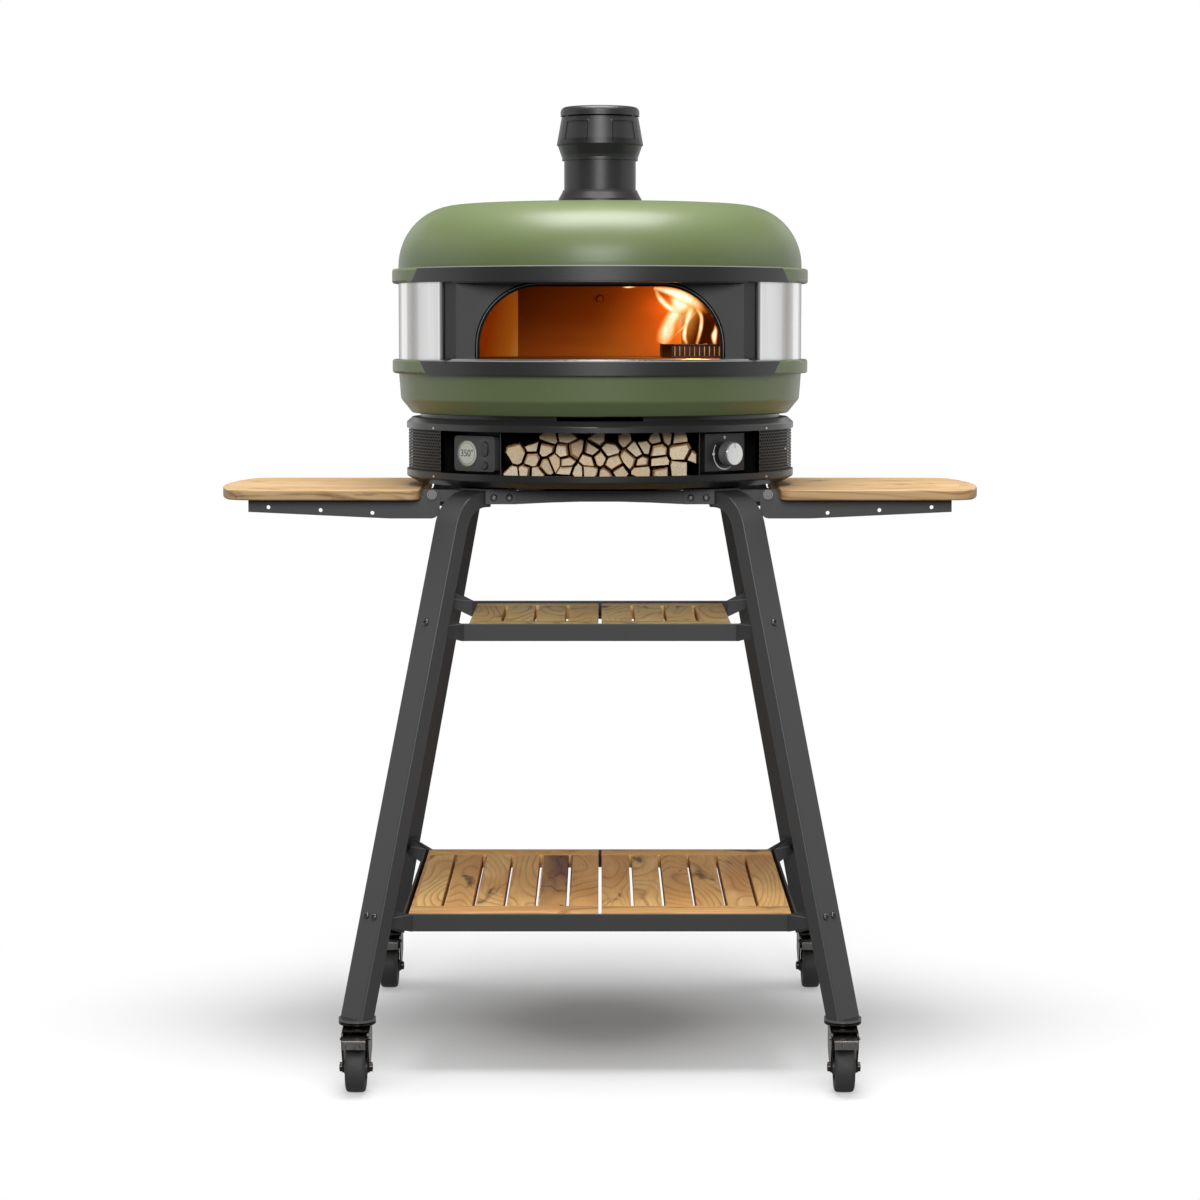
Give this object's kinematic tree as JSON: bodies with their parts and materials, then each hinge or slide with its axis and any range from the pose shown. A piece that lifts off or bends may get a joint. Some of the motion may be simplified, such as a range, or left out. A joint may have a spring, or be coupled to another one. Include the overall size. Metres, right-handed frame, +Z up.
{
  "type": "outdoor pizza oven on a wheeled table",
  "caption": "Domed outdoor pizza oven with a flue and a wood store, on a wheeled steel stand with slatted wooden shelves and wooden side boards that fold down.",
  "frame": {"origin": "on the floor, under the middle of the whole table's box", "axes": "+Z up; the mouth of the oven faces -Y; +X is to the right of somebody who faces the mouth"},
  "size_m": [1.196, 0.833, 1.48],
  "materials": {
    "frame": "satin powder coat",
    "shell_green": "satin powder coat",
    "black_metal": "matt powder coat",
    "steel": "brushed",
    "bright_steel": "bright",
    "wood": "oiled",
    "board_wood": "oiled",
    "logs": "rough, split",
    "stone": "rough",
    "wool": "soft",
    "tyre": "matt",
    "plastic": "fine grain",
    "lens": "clear over a pale dial",
    "knob": "brushed",
    "brass": "plain"
  },
  "bodies": {
    "table": {"bulkheads": "black_metal", "burner": "steel", "burner_guard": "steel", "caster_stems": "bright_steel", "chamber": "steel", "corner_brackets": "frame", "display_lens": "lens", "drum_cover": "black_metal", "drum_tray": "black_metal", "drum_wall": "black_metal", "face_plate": "black_metal", "firewood": "logs", "floor_insulation": "wool", "floor_stones": "stone", "flue_cap": "black_metal", "flue_skirt": "black_metal", "flue_tube": "steel", "frame_bolts": "bright_steel", "front_bands": "black_metal", "gas_fittings": "brass", "gas_panel": "black_metal", "hinge_pins": "bright_steel", "landing_strip": "steel", "leg_front_left": "frame", "leg_front_right": "frame", "leg_rear_left": "frame", "leg_rear_right": "frame", "low_shelf": "wood", "lower_shell": "shell_green", "mid_shelf": "wood", "mouth_trim": "black_metal", "neck_ring": "black_metal", "oven_feet": "plastic", "shelf_rails": "frame", "side_wrap": "steel", "thermometer_body": "plastic", "top_rails": "frame", "upper_shell": "shell_green", "wood_store": "black_metal"},
    "fork_front_left": {"caster_front_left_fork": "bright_steel"},
    "wheel_front_left": {"caster_front_left_wheel": "tyre"},
    "pedal_front_left": {"caster_front_left_pedal": "bright_steel"},
    "fork_front_right": {"caster_front_right_fork": "bright_steel"},
    "wheel_front_right": {"caster_front_right_wheel": "tyre"},
    "pedal_front_right": {"caster_front_right_pedal": "bright_steel"},
    "fork_rear_left": {"caster_rear_left_fork": "bright_steel"},
    "wheel_rear_left": {"caster_rear_left_wheel": "tyre"},
    "pedal_rear_left": {"caster_rear_left_pedal": "bright_steel"},
    "fork_rear_right": {"caster_rear_right_fork": "bright_steel"},
    "wheel_rear_right": {"caster_rear_right_wheel": "tyre"},
    "pedal_rear_right": {"caster_rear_right_pedal": "bright_steel"},
    "board_left": {"side_board_left": "board_wood", "side_arms_left": "frame"},
    "board_right": {"side_board_right": "board_wood", "side_arms_right": "frame"},
    "spindle": {"gas_spindle": "steel"},
    "knob": {"gas_knob": "knob"},
    "long_button": {"long_button": "plastic"},
    "round_button": {"round_button": "plastic"}
  },
  "joints": [
    {"name": "swivel_front_left", "type": "hinge", "parent": "table", "child": "fork_front_left", "pos_m": [-0.365, -0.3415, 0.1], "axis": [0, 0, 1], "continuous": true},
    {"name": "spin_front_left", "type": "hinge", "parent": "fork_front_left", "child": "wheel_front_left", "pos_m": [-0.365, -0.3685, 0.038], "axis": [1, 0, 0], "continuous": true},
    {"name": "brake_front_left", "type": "hinge", "parent": "fork_front_left", "child": "pedal_front_left", "pos_m": [-0.365, -0.3815, 0.084], "axis": [1, 0, 0], "range_deg": [0, 15]},
    {"name": "swivel_front_right", "type": "hinge", "parent": "table", "child": "fork_front_right", "pos_m": [0.365, -0.3415, 0.1], "axis": [0, 0, 1], "continuous": true},
    {"name": "spin_front_right", "type": "hinge", "parent": "fork_front_right", "child": "wheel_front_right", "pos_m": [0.365, -0.3685, 0.038], "axis": [1, 0, 0], "continuous": true},
    {"name": "brake_front_right", "type": "hinge", "parent": "fork_front_right", "child": "pedal_front_right", "pos_m": [0.365, -0.3815, 0.084], "axis": [1, 0, 0], "range_deg": [0, 15]},
    {"name": "swivel_rear_left", "type": "hinge", "parent": "table", "child": "fork_rear_left", "pos_m": [-0.365, 0.3885, 0.1], "axis": [0, 0, 1], "continuous": true},
    {"name": "spin_rear_left", "type": "hinge", "parent": "fork_rear_left", "child": "wheel_rear_left", "pos_m": [-0.365, 0.3615, 0.038], "axis": [1, 0, 0], "continuous": true},
    {"name": "brake_rear_left", "type": "hinge", "parent": "fork_rear_left", "child": "pedal_rear_left", "pos_m": [-0.365, 0.3485, 0.084], "axis": [1, 0, 0], "range_deg": [0, 15]},
    {"name": "swivel_rear_right", "type": "hinge", "parent": "table", "child": "fork_rear_right", "pos_m": [0.365, 0.3885, 0.1], "axis": [0, 0, 1], "continuous": true},
    {"name": "spin_rear_right", "type": "hinge", "parent": "fork_rear_right", "child": "wheel_rear_right", "pos_m": [0.365, 0.3615, 0.038], "axis": [1, 0, 0], "continuous": true},
    {"name": "brake_rear_right", "type": "hinge", "parent": "fork_rear_right", "child": "pedal_rear_right", "pos_m": [0.365, 0.3485, 0.084], "axis": [1, 0, 0], "range_deg": [0, 15]},
    {"name": "fold_left", "type": "hinge", "parent": "table", "child": "board_left", "pos_m": [-0.2596, 0.0235, 0.8836], "axis": [0, -1, 0], "range_deg": [0, 90]},
    {"name": "fold_right", "type": "hinge", "parent": "table", "child": "board_right", "pos_m": [0.2596, 0.0235, 0.8836], "axis": [0, 1, 0], "range_deg": [0, 90]},
    {"name": "spindle_push", "type": "slide", "parent": "table", "child": "spindle", "axis": [-0.6691, 0.7431, 0], "range_m": [0, 0.004], "stiffness_N_per_m": 600},
    {"name": "knob_turn", "type": "hinge", "parent": "spindle", "child": "knob", "pos_m": [0.19479, -0.19134, 0.9485], "axis": [-0.6691, 0.7431, 0], "range_deg": [0, 215]},
    {"name": "long_button_push", "type": "slide", "parent": "table", "child": "long_button", "axis": [0.6691, 0.7431, 0], "range_m": [0, 0.001], "stiffness_N_per_m": 800},
    {"name": "round_button_push", "type": "slide", "parent": "table", "child": "round_button", "axis": [0.6691, 0.7431, 0], "range_m": [0, 0.001], "stiffness_N_per_m": 800}
  ]
}
